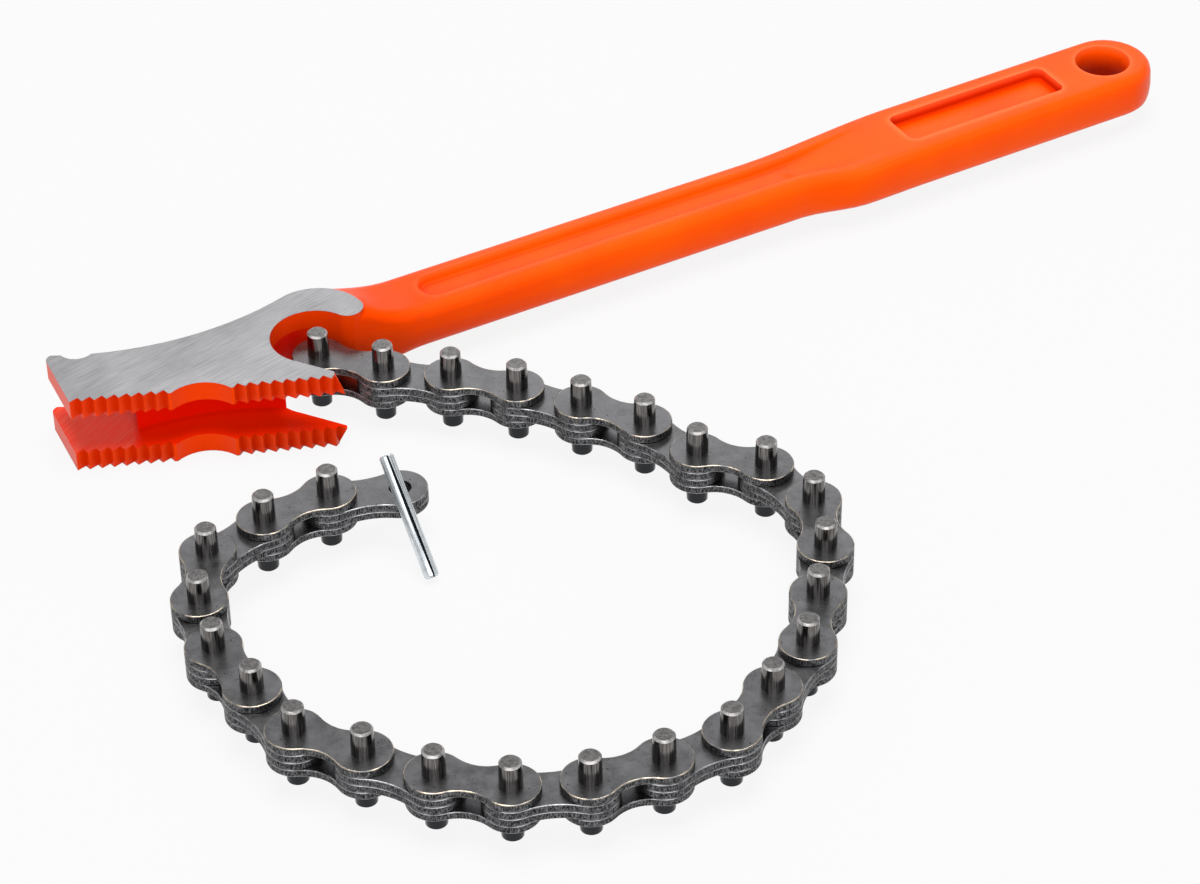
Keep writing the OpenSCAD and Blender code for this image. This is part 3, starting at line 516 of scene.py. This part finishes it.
def chain_link_tree(plate, rim, pin, chamfer, pin_end):
    """Geometry Nodes tree of one chain link: two waisted plates, and two chamfered pins where the link has them."""
    tree = bpy.data.node_groups.new("chain_link", "GeometryNodeTree")
    tree.interface.new_socket("Geometry", in_out="OUTPUT", socket_type="NodeSocketGeometry")
    for name in ("Pitch", "End Radius", "Waist", "Thickness", "Hole Radius", "Lower Plate", "Upper Plate",
                 "Pin Radius", "Tip Radius", "Pin Foot", "Pin Top", "Chamfer", "Collar Foot", "Collar Top"):
        tree.interface.new_socket(name, in_out="INPUT", socket_type="NodeSocketFloat").subtype = "DISTANCE"
    tree.interface.new_socket("With Pins", in_out="INPUT", socket_type="NodeSocketBool")
    tree.interface.new_socket("Start", in_out="INPUT", socket_type="NodeSocketVector")
    tree.interface.new_socket("Direction", in_out="INPUT", socket_type="NodeSocketFloat").subtype = "ANGLE"
    given = add(tree, "NodeGroupInput").outputs

    # waist: the hollow arc that meets both round ends smoothly
    half = add(tree, "ShaderNodeMath", {0: given["Pitch"], 1: 0.5}, operation="MULTIPLY").outputs[0]
    narrow = add(tree, "ShaderNodeMath", {0: given["Waist"], 1: 0.5}, operation="MULTIPLY").outputs[0]
    half_2 = add(tree, "ShaderNodeMath", {0: half, 1: 2.0}, operation="POWER").outputs[0]
    narrow_2 = add(tree, "ShaderNodeMath", {0: narrow, 1: narrow, 2: half_2}, operation="MULTIPLY_ADD").outputs[0]
    end_2 = add(tree, "ShaderNodeMath", {0: given["End Radius"], 1: 2.0}, operation="POWER").outputs[0]
    rise = add(tree, "ShaderNodeMath", {0: narrow_2, 1: end_2}, operation="SUBTRACT").outputs[0]
    slack = add(tree, "ShaderNodeMath", {0: given["End Radius"], 1: narrow}, operation="SUBTRACT").outputs[0]
    slack_2 = add(tree, "ShaderNodeMath", {0: slack, 1: 2.0}, operation="MULTIPLY").outputs[0]
    hollow = add(tree, "ShaderNodeMath", {0: rise, 1: slack_2}, operation="DIVIDE").outputs[0]
    hollow_y = add(tree, "ShaderNodeMath", {0: narrow, 1: hollow}, operation="ADD").outputs[0]
    touch = add(tree, "ShaderNodeMath", {0: hollow_y, 1: half}, operation="ARCTAN2").outputs[0]
    end_sweep = add(tree, "ShaderNodeMath", {0: touch, 1: -2.0, 2: 2 * math.pi}, operation="MULTIPLY_ADD").outputs[0]
    waist_start = add(tree, "ShaderNodeMath", {0: touch, 1: math.pi}, operation="ADD").outputs[0]
    waist_sweep = add(tree, "ShaderNodeMath", {0: touch, 1: -2.0, 2: math.pi}, operation="MULTIPLY_ADD").outputs[0]
    end_arc = add(tree, "GeometryNodeCurveArc", {
        "Resolution": END_POINTS, "Radius": given["End Radius"], "Start Angle": touch,
        "Sweep Angle": end_sweep}, mode="RADIUS")
    waist_arc = add(tree, "GeometryNodeCurveArc", {
        "Resolution": WAIST_POINTS, "Radius": hollow, "Start Angle": waist_start,
        "Sweep Angle": waist_sweep}, mode="RADIUS")
    waist_at = add(tree, "ShaderNodeCombineXYZ", {"X": half, "Y": hollow_y})
    waist_set = add(tree, "GeometryNodeTransform", {"Geometry": waist_arc.outputs["Curve"],
                                                    "Translation": waist_at.outputs[0]})
    side = add(tree, "GeometryNodeJoinGeometry", {0: end_arc.outputs["Curve"]})
    tree.links.new(waist_set.outputs[0], side.inputs[0])
    far_pin = add(tree, "ShaderNodeCombineXYZ", {"X": given["Pitch"]}).outputs[0]
    other_side = add(tree, "GeometryNodeTransform", {"Geometry": side.outputs[0], "Translation": far_pin,
                                                     "Rotation": (0.0, 0.0, math.pi)})
    both = add(tree, "GeometryNodeJoinGeometry", {0: side.outputs[0]})
    tree.links.new(other_side.outputs[0], both.inputs[0])
    wire = add(tree, "GeometryNodeCurveToMesh", {"Curve": both.outputs[0]})
    welded = add(tree, "GeometryNodeMergeByDistance", {"Geometry": wire.outputs[0], "Distance": OUTLINE_WELD})
    outline = add(tree, "GeometryNodeMeshToCurve", {"Mesh": welded.outputs[0]})

    # plate: outline with two holes, filled and given its thickness
    hole = add(tree, "GeometryNodeCurvePrimitiveCircle", {
        "Resolution": CIRCLE_POINTS, "Radius": given["Hole Radius"]})
    far_hole = add(tree, "GeometryNodeTransform", {"Geometry": hole.outputs["Curve"], "Translation": far_pin})
    loops = add(tree, "GeometryNodeJoinGeometry", {0: outline.outputs[0]})
    for loop in (hole, far_hole):
        tree.links.new(loop.outputs[0], loops.inputs[0])
    blank = add(tree, "GeometryNodeFillCurve", {"Curve": loops.outputs[0]}, mode="NGONS")
    raised = add(tree, "GeometryNodeExtrudeMesh", {"Mesh": blank.outputs[0], "Offset Scale": given["Thickness"],
                                                   "Individual": False})
    rimmed = add(tree, "GeometryNodeStoreNamedAttribute", {
        "Geometry": raised.outputs["Mesh"], "Name": "rim", "Value": raised.outputs["Side"]},
        data_type="BOOLEAN", domain="FACE")
    under = add(tree, "GeometryNodeFlipFaces", {"Mesh": blank.outputs[0]})
    closed = add(tree, "GeometryNodeJoinGeometry", {0: rimmed.outputs[0]})
    tree.links.new(under.outputs[0], closed.inputs[0])
    solid = add(tree, "GeometryNodeMergeByDistance", {"Geometry": closed.outputs[0], "Distance": FINE_WELD})
    lower = add(tree, "ShaderNodeCombineXYZ", {"Z": given["Lower Plate"]})
    gap = add(tree, "ShaderNodeMath", {0: given["Upper Plate"], 1: given["Lower Plate"]}, operation="SUBTRACT")
    step = add(tree, "ShaderNodeCombineXYZ", {"Z": gap.outputs[0]})
    stack = add(tree, "GeometryNodeMeshLine", {"Count": 2, "Start Location": lower.outputs[0],
                                               "Offset": step.outputs[0]}, mode="OFFSET")
    plates = add(tree, "GeometryNodeInstanceOnPoints", {"Points": stack.outputs[0], "Instance": solid.outputs[0]})

    # pin: a line of six places along the axis, swept with the radius that the pin has at each
    foot_edge = add(tree, "ShaderNodeMath", {0: given["Pin Foot"], 1: given["Chamfer"]}, operation="ADD").outputs[0]
    top_edge = add(tree, "ShaderNodeMath", {0: given["Pin Top"], 1: given["Chamfer"]}, operation="SUBTRACT").outputs[0]
    face_r = add(tree, "ShaderNodeMath", {0: given["Tip Radius"], 1: given["Chamfer"]}, operation="SUBTRACT").outputs[0]
    heights = (given["Pin Foot"], foot_edge, given["Collar Foot"], given["Collar Top"], top_edge, given["Pin Top"])
    radii = (face_r, given["Tip Radius"], given["Pin Radius"], given["Pin Radius"], given["Tip Radius"], face_r)
    index = add(tree, "GeometryNodeInputIndex").outputs[0]
    picks = []
    for values in (heights, radii):
        pick = add(tree, "GeometryNodeIndexSwitch", {"Index": index}, data_type="FLOAT")
        while len(pick.index_switch_items) < len(values):
            pick.index_switch_items.new()
        for k, value in enumerate(values):
            tree.links.new(value, pick.inputs[k + 1])
        picks.append(pick.outputs[0])
    axis = add(tree, "GeometryNodeMeshLine", {"Count": len(heights), "Offset": (0.0, 0.0, MM)}, mode="OFFSET")
    axis_at = add(tree, "ShaderNodeCombineXYZ", {"Z": picks[0]})
    axis_set = add(tree, "GeometryNodeSetPosition", {"Geometry": axis.outputs[0], "Position": axis_at.outputs[0]})
    axis_line = add(tree, "GeometryNodeMeshToCurve", {"Mesh": axis_set.outputs[0]})
    ring = add(tree, "GeometryNodeCurvePrimitiveCircle", {"Resolution": CIRCLE_POINTS, "Radius": 1.0})
    shaft = add(tree, "GeometryNodeCurveToMesh", {"Curve": axis_line.outputs[0], "Profile Curve": ring.outputs["Curve"],
                                                  "Scale": picks[1], "Fill Caps": True})
    # faces that look nearly straight up or down are the pin's ends, and slanted ones are its chamfers
    normal = add(tree, "ShaderNodeSeparateXYZ", {"Vector": add(tree, "GeometryNodeInputNormal").outputs[0]})
    steep = add(tree, "ShaderNodeMath", {0: normal.outputs["Z"]}, operation="ABSOLUTE")
    flat = add(tree, "FunctionNodeCompare", {"A": steep.outputs[0], "B": 0.9}, operation="GREATER_THAN")
    slanted = add(tree, "FunctionNodeCompare", {"A": steep.outputs[0], "B": 0.3}, operation="GREATER_THAN")
    named = shaft
    for name, value in (("chamfer", slanted.outputs[0]), ("pin_end", flat.outputs[0]), ("pin", True)):
        named = add(tree, "GeometryNodeStoreNamedAttribute", {
            "Geometry": named.outputs[0], "Name": name, "Value": value}, data_type="BOOLEAN", domain="FACE")
    pair = add(tree, "GeometryNodeMeshLine", {"Count": 2, "Offset": far_pin}, mode="OFFSET")
    pins = add(tree, "GeometryNodeInstanceOnPoints", {"Points": pair.outputs[0], "Instance": named.outputs[0]})
    pins_or_none = add(tree, "GeometryNodeSwitch", {"Switch": given["With Pins"], "True": pins.outputs[0]},
                       input_type="GEOMETRY")

    # the link where it lies, as one mesh with its finishes
    link = add(tree, "GeometryNodeJoinGeometry", {0: plates.outputs[0]})
    tree.links.new(pins_or_none.outputs[0], link.inputs[0])
    turn = add(tree, "ShaderNodeCombineXYZ", {"Z": given["Direction"]})
    laid = add(tree, "GeometryNodeTransform", {"Geometry": link.outputs[0], "Translation": given["Start"],
                                               "Rotation": turn.outputs[0]})
    smooth = add(tree, "GeometryNodeSetShadeSmooth", {"Geometry": laid.outputs[0]})
    last = add(tree, "GeometryNodeRealizeInstances", {"Geometry": smooth.outputs[0]})
    last = add(tree, "GeometryNodeSetMaterial", {"Geometry": last.outputs[0], "Material": plate})
    for name, material in (("rim", rim), ("pin", pin), ("chamfer", chamfer), ("pin_end", pin_end)):
        chosen = add(tree, "GeometryNodeInputNamedAttribute", {"Name": name}, data_type="BOOLEAN")
        last = add(tree, "GeometryNodeSetMaterial", {"Geometry": last.outputs[0], "Selection": chosen.outputs[0],
                                                     "Material": material})
    add(tree, "NodeGroupOutput", {"Geometry": last.outputs[0]})
    return tree


def round_edges(piece, width, wanted, material=-1):
    """Bevels the sharp edges that the test wants, and keeps flat faces flat in the shading."""
    work = bmesh.new()
    work.from_mesh(piece.data)
    weight = work.edges.layers.float.new("bevel_weight_edge")
    for edge in work.edges:
        if len(edge.link_faces) == 2 and edge.calc_face_angle() > SHARP:
            edge.smooth = False
            edge[weight] = 1.0 if wanted(edge) else 0.0
    work.to_mesh(piece.data)
    work.free()
    bevel = piece.modifiers.new("edges", "BEVEL")
    bevel.width = width
    bevel.segments = ROUND_STEPS
    bevel.limit_method = "WEIGHT"
    bevel.harden_normals = True
    bevel.use_clamp_overlap = True
    bevel.material = material
    flats = piece.modifiers.new("flats", "WEIGHTED_NORMAL")
    flats.keep_sharp = True
    bake_modifiers(piece)


def bake_modifiers(piece):
    """Turns a piece and its modifiers into a plain mesh."""
    graph = bpy.context.evaluated_depsgraph_get()
    mesh = bpy.data.meshes.new_from_object(piece.evaluated_get(graph), preserve_all_data_layers=True, depsgraph=graph)
    piece.modifiers.clear()
    piece.data = mesh
    mesh.name = piece.name


def new_piece(name, mesh):
    """A new object in the scene, at the origin."""
    piece = bpy.data.objects.new(name, mesh)
    bpy.context.scene.collection.objects.link(piece)
    return piece


def level_channel(work, fade_from, fade_to):
    """Lets the handle's channel run out in front of the recess, which then goes down from the flange's height."""
    start = PINS_AT[0].x
    rows = {}
    for corner in work.verts:
        if fade_from - CHANNEL_ROOM < corner.co.x - start < CHANNEL_END + CHANNEL_ROOM:
            rows.setdefault(round(corner.co.x, 6), []).append(corner.co)
    # each full row across the handle: its place, its two sides and its flange's height
    rows = sorted((x, min(c.y for c in row), max(c.y for c in row), max(abs(c.z - HEAD_MIDDLE) for c in row))
                  for x, row in rows.items() if len(row) >= FULL_ROW)
    for corner in work.verts:
        x, y, z = corner.co
        if not fade_from < x - start < CHANNEL_END:
            continue
        # past the last row the grip is straight
        after = next((k for k, row in enumerate(rows) if row[0] >= x), len(rows) - 1)
        before = rows[after - 1]
        t = min(1.0, (x - before[0]) / (rows[after][0] - before[0]))
        low, high, flange = (a + (b - a) * t for a, b in zip(before[1:], rows[after][1:]))
        inset = (high - low) / 2 - abs(y - (low + high) / 2)
        cut = flange - abs(z - HEAD_MIDDLE)
        if inset > FLANGE_EDGE and 0.0 < cut < CHANNEL_CUT:
            share = min(1.0, (x - start - fade_from) / (fade_to - fade_from))
            share = share * share * (3 - 2 * share)
            corner.co.z += math.copysign(cut * share, z - HEAD_MIDDLE)


def welded_copy(node, name, weld, reshape=None):
    """A copy of a CAD node's mesh with its corners joined and its flat areas cleared of inner edges."""
    work = bmesh.new()
    work.from_mesh(frame["nodes"][node].data)
    bmesh.ops.remove_doubles(work, verts=work.verts, dist=weld)
    if reshape:
        reshape(work)
    bmesh.ops.dissolve_limit(work, angle_limit=FLAT, verts=work.verts, edges=work.edges)
    for face in work.faces:
        face.smooth = True
    mesh = bpy.data.meshes.new(name)
    work.to_mesh(mesh)
    work.free()
    return new_piece(name, mesh)


def close_slot(piece, closing, twist):
    """Closes the rolled strip's slot towards both ends and turns it slightly along the leaning pin."""
    work = bmesh.new()
    work.from_mesh(piece.data)
    bmesh.ops.remove_doubles(work, verts=work.verts, dist=FINE_WELD)
    longest = max(work.edges, key=lambda edge: edge.calc_length())
    axis = (longest.verts[1].co - longest.verts[0].co).normalized()
    axis *= math.copysign(1.0, axis.z)
    corners = [corner.co for corner in work.verts]
    middle = sum((Vector(pick(c[i] for c in corners) for i in range(3)) for pick in (min, max)), Vector()) / 2
    half = max((c - middle).dot(axis) for c in corners)
    radius = max((c - middle - axis * (c - middle).dot(axis)).length for c in corners)
    across = Vector((1.0, 0.0, 0.0))
    opening = across.cross(axis)
    opening *= math.copysign(1.0, opening.z)
    for k in range(1, SLOT_STATIONS):
        bmesh.ops.bisect_plane(work, geom=work.verts[:] + work.edges[:] + work.faces[:], plane_no=axis,
                               plane_co=middle + axis * half * (2 * k / SLOT_STATIONS - 1))
    for corner in work.verts:
        out = corner.co - middle
        t = out.dot(axis)
        out -= axis * t
        turn = math.atan2(out.dot(across), out.dot(opening))
        # nothing moves opposite the slot, and the slot keeps its width at mid length
        turn -= math.copysign(closing / radius * (t / half) ** 2 * (1 - abs(turn) / math.pi), turn)
        turn += twist * (t / half + 1) / 2
        corner.co = middle + axis * t + (across * math.sin(turn) + opening * math.cos(turn)) * out.length
    work.to_mesh(piece.data)
    work.free()


class WRENCH_OT_forging(bpy.types.Operator):
    """Dress the forged handle and head in enamel and ground steel"""
    bl_idname = "chain_wrench.forging"
    bl_label = "Forged Body"

    def execute(self, context):
        p = context.scene.chain_wrench.forging
        piece = welded_copy("wrench_body", "forged_body", p.weld,
                            lambda work: level_channel(work, p.fade_from, p.fade_to))
        piece.data.materials.append(enamelled_forging(p))
        round_edges(piece, p.edge_round, lambda edge: all(
            near.calc_length() > p.short for corner in edge.verts for near in corner.link_edges))
        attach(piece, "wrench")
        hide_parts("wrench_body")
        return {"FINISHED"}


class WRENCH_OT_chain(bpy.types.Operator):
    """Build every link of the chain where its pins lie"""
    bl_idname = "chain_wrench.chain"
    bl_label = "Leaf Chain"

    def execute(self, context):
        p = context.scene.chain_wrench.chain
        pin, chamfer, pin_end, worn_and_highlit = polished_pin(p), turned_chamfer(p), cropped_pin_end(p), worn_and_highlit_edge(p)
        tree = chain_link_tree(burnished_plate(p), sheared_rim(p), pin, chamfer, pin_end)
        sockets = {s.name: s.identifier for s in tree.interface.items_tree if s.in_out == "INPUT"}
        for i in range(len(CHAIN_JOINTS)):
            outer = i % 2 == 0
            number = f"{i // 2 + 1:02d}"
            body = f"outer_link_{number}" if outer else f"inner_link_{number}"
            run = PINS_AT[i + 1] - PINS_AT[i]
            sizes = {
                "Pitch": run.xy.length,
                "End Radius": p.end_r,
                "Waist": p.outer_waist if outer else p.inner_waist,
                "Thickness": PLATE_T,
                "Hole Radius": p.pin_r if outer else p.pin_r + p.pin_play,
                "Lower Plate": BOTTOM_Z[0] if outer else INNER_Z[0],
                "Upper Plate": TOP_Z[0] if outer else INNER_Z[1] - PLATE_T,
                "Pin Radius": p.pin_r,
                "Tip Radius": p.tip_r,
                "Pin Foot": PIN_Z[0],
                "Pin Top": PIN_Z[1],
                "Chamfer": p.chamfer,
                "Collar Foot": BOTTOM_Z[0] - p.collar,
                "Collar Top": TOP_Z[1] + p.collar,
                "With Pins": outer,
                "Start": (PINS_AT[i].x, PINS_AT[i].y, 0.0),
                "Direction": math.atan2(run.y, run.x),
            }
            piece = new_piece(f"{body}_steel", bpy.data.meshes.new(body))
            nodes = piece.modifiers.new("link", "NODES")
            nodes.node_group = tree
            for name, value in sizes.items():
                nodes[sockets[name]] = value
            bake_modifiers(piece)
            piece.data.materials.append(worn_and_highlit)
            # the plates' rims, which lie more than a millimetre away from the pins and their holes
            round_edges(piece, p.plate_round, lambda edge: all(
                (corner.co.xy - pin_at.xy).length > p.pin_r + MM
                for corner in edge.verts for pin_at in PINS_AT[i:i + 2]), len(piece.data.materials) - 1)
            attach(piece, body)
            if outer:
                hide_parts(f"{body}_top_plate", f"{body}_bottom_plate", f"{body}_pins")
            else:
                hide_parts(f"{body}_plates")
        return {"FINISHED"}


class WRENCH_OT_spring_pin(bpy.types.Operator):
    """Dress the loose slotted spring pin in bright zinc"""
    bl_idname = "chain_wrench.spring_pin"
    bl_label = "Spring Pin"

    def execute(self, context):
        p = context.scene.chain_wrench.spring
        piece = welded_copy("spring_pin", "slotted_spring_pin", WELD)
        piece.data.materials.append(bright_zinc(p))
        piece.data.materials.append(shaded_bore(p))
        # faces that look at the strip's own wall are inside, and get the dark bore colour as painted shade
        work = bmesh.new()
        work.from_mesh(piece.data)
        walls = BVHTree.FromBMesh(work)
        for face in work.faces:
            start = face.calc_center_median() + face.normal * OFF_FACE
            face.material_index = 0 if walls.ray_cast(start, face.normal, BORE_REACH)[0] is None else 1
        work.to_mesh(piece.data)
        work.free()
        round_edges(piece, p.edge_round, lambda edge: edge.calc_length() > LONG_EDGE)
        close_slot(piece, p.slot_close, p.slot_twist)
        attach(piece, "spring_pin")
        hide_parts("spring_pin")
        return {"FINISHED"}


class WRENCH_OT_stage(bpy.types.Operator):
    """Set up the floor, the studio light and the camera"""
    bl_idname = "chain_wrench.stage"
    bl_label = "Studio"

    def execute(self, context):
        p = context.scene.chain_wrench.stage
        scene = context.scene
        scene.view_settings.view_transform = "Standard"

        # floor: white to the eye and in reflections, with the wrench's shadow left faintly on it
        work = bmesh.new()
        bmesh.ops.create_grid(work, x_segments=1, y_segments=1, size=p.floor_size / 2)
        mesh = bpy.data.meshes.new("floor")
        work.to_mesh(mesh)
        work.free()
        floor = new_piece("floor", mesh)
        floor.location.z = CAD_BOX[0][2]
        material = bpy.data.materials.new("white_studio_paper")
        material.use_nodes = True
        tree = material.node_tree
        tree.nodes.clear()
        paper = add(tree, "ShaderNodeBsdfDiffuse", {"Color": rgba(p.floor, PAPER_TONE)})
        glow = add(tree, "ShaderNodeEmission", {"Color": rgba(p.floor), "Strength": 1.0})
        path = add(tree, "ShaderNodeLightPath").outputs
        seen = add(tree, "ShaderNodeMath", {0: path["Is Camera Ray"], 1: path["Is Glossy Ray"]}, operation="MAXIMUM")
        seen = add(tree, "ShaderNodeMath", {0: seen.outputs[0], 1: path["Is Transmission Ray"]}, operation="MAXIMUM")
        share = add(tree, "ShaderNodeMath", {0: seen.outputs[0], 1: GLOW_SHARE}, operation="MULTIPLY")
        mixed = add(tree, "ShaderNodeMixShader", {0: share.outputs[0], 1: paper.outputs[0], 2: glow.outputs[0]})
        add(tree, "ShaderNodeOutputMaterial", {"Surface": mixed.outputs[0]})
        mesh.materials.append(material)

        # soft studio room
        world = bpy.data.worlds.new("studio")
        scene.world = world
        world.use_nodes = True
        tree = world.node_tree
        tree.nodes.clear()
        room = add(tree, "ShaderNodeBackground", {"Color": (1.0, 1.0, 1.0, 1.0), "Strength": ROOM_LIGHT})
        add(tree, "ShaderNodeOutputWorld", {"Surface": room.outputs[0]})

        for name, at, width, height, watts in SOFT_BOXES:
            lamp = bpy.data.lights.new(name, "AREA")
            lamp.shape = "RECTANGLE"
            lamp.size = width
            lamp.size_y = height
            lamp.energy = watts
            held = new_piece(name, lamp)
            held.location = at
            held.rotation_euler = (LAMPS_FACE - Vector(at)).to_track_quat("-Z", "Y").to_euler()

        lens = bpy.data.cameras.new("photo_view")
        lens.sensor_fit = "HORIZONTAL"
        lens.sensor_width = FRAME_WIDTH
        lens.lens = p.lens
        lens.clip_end = FAR_CLIP
        camera = new_piece("photo_view", lens)
        foot = Vector((PINS_AT[0].x, PINS_AT[0].y, 0.0))
        camera.location = foot + Vector(p.camera_at)
        view = (Vector(p.look_at) - Vector(p.camera_at)).to_track_quat("-Z", "Y")
        camera.rotation_euler = (view @ Quaternion((0.0, 0.0, 1.0), p.roll)).to_euler()
        scene.camera = camera
        return {"FINISHED"}


class WRENCH_PT_panel(bpy.types.Panel):
    """Settings and steps of the chain wrench"""
    bl_idname = "WRENCH_PT_panel"
    bl_label = "Chain Wrench"
    bl_space_type = "VIEW_3D"
    bl_region_type = "UI"
    bl_category = "Chain Wrench"

    def draw(self, context):
        settings = context.scene.chain_wrench
        for group, operator in (("forging", WRENCH_OT_forging), ("chain", WRENCH_OT_chain),
                                ("spring", WRENCH_OT_spring_pin), ("stage", WRENCH_OT_stage)):
            box = self.layout.box()
            box.operator(operator.bl_idname)
            values = getattr(settings, group)
            for name in values.__annotations__:
                box.prop(values, name)


CLASSES = (WRENCH_PG_forging, WRENCH_PG_chain, WRENCH_PG_spring, WRENCH_PG_stage, WRENCH_PG_settings,
           WRENCH_OT_forging, WRENCH_OT_chain, WRENCH_OT_spring_pin, WRENCH_OT_stage, WRENCH_PT_panel)


def register():
    """Registers the classes and hangs the settings on the scene."""
    for made in CLASSES:
        bpy.utils.register_class(made)
    bpy.types.Scene.chain_wrench = PointerProperty(type=WRENCH_PG_settings)


def unregister():
    """Takes back what register did."""
    del bpy.types.Scene.chain_wrench
    for made in reversed(CLASSES):
        bpy.utils.unregister_class(made)


def main():
    """Builds every piece and the stage."""
    register()
    bpy.ops.chain_wrench.forging()
    bpy.ops.chain_wrench.chain()
    bpy.ops.chain_wrench.spring_pin()
    bpy.ops.chain_wrench.stage()


if __name__ == "__main__":
    main()
